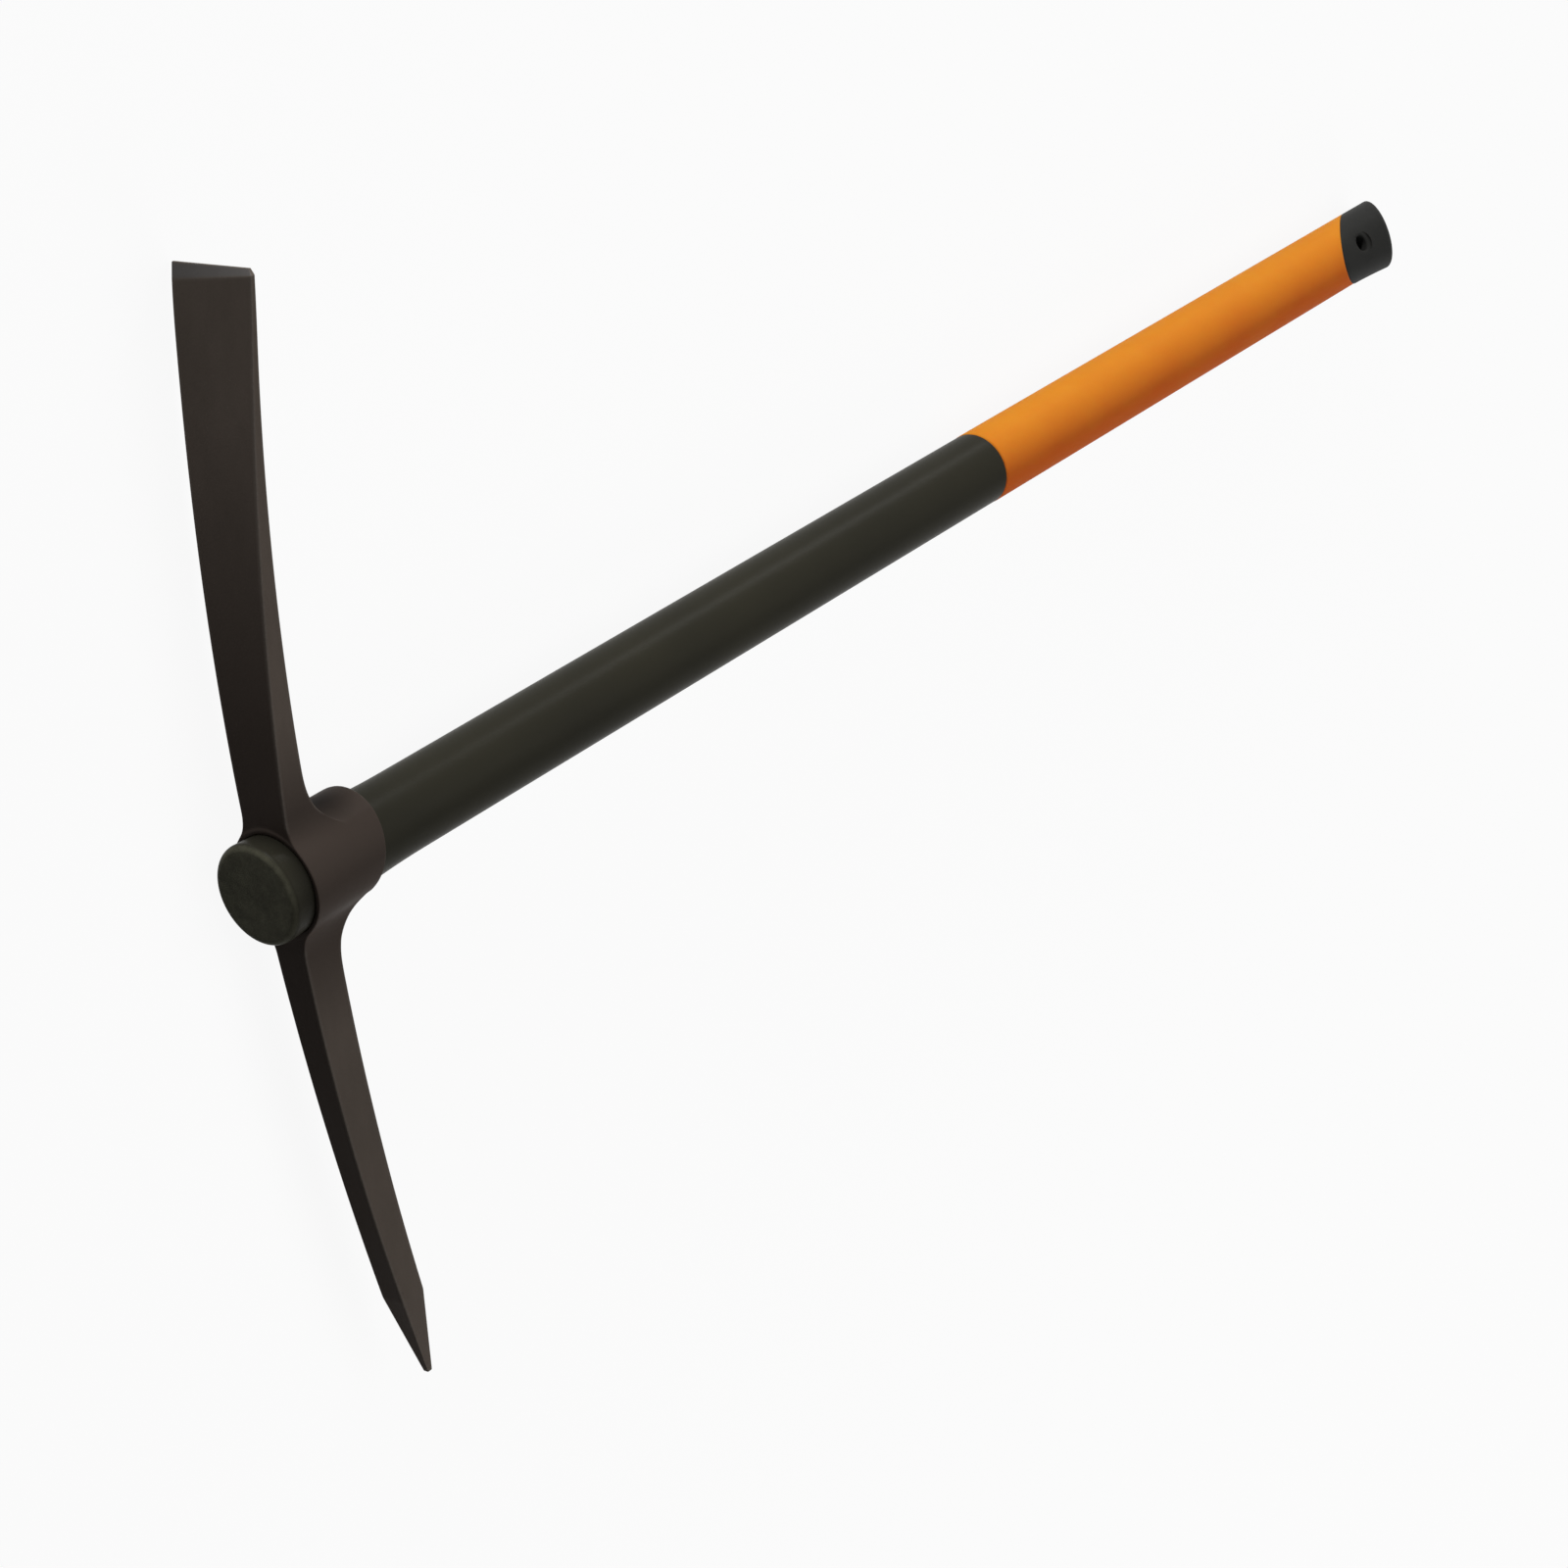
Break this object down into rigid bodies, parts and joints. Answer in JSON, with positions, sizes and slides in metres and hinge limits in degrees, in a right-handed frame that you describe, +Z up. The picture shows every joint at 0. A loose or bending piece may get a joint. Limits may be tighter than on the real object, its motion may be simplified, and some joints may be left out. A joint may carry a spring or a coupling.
{
  "type": "mattock",
  "caption": "Mattock with a forged head, its chisel blade and square pick on a round tapered eye, jammed on a plastic-jacketed fibreglass handle with a soft grip and sloped end cap.",
  "frame": {"origin": "on the floor below the middle of the box, with the tool lying on its side", "axes": "+X along the handle from the head to the butt, +Y towards the chisel blade, +Z up, across the blade's width"},
  "size_m": [0.9238, 0.4948, 0.0475],
  "materials": {
    "head_lacquer": "satin black-brown lacquer on forged steel",
    "core_glass_fibre": "pultruded glass fibre in resin",
    "jacket_plastic": "satin moulded polypropylene",
    "grip_soft": "soft matt moulded elastomer",
    "cap_plastic": "satin moulded polypropylene"
  },
  "bodies": {
    "root": {"head": "head_lacquer", "fibreglass_core": "core_glass_fibre", "shaft_jacket": "jacket_plastic", "grip_sleeve": "grip_soft", "end_cap": "cap_plastic"}
  },
  "joints": []
}
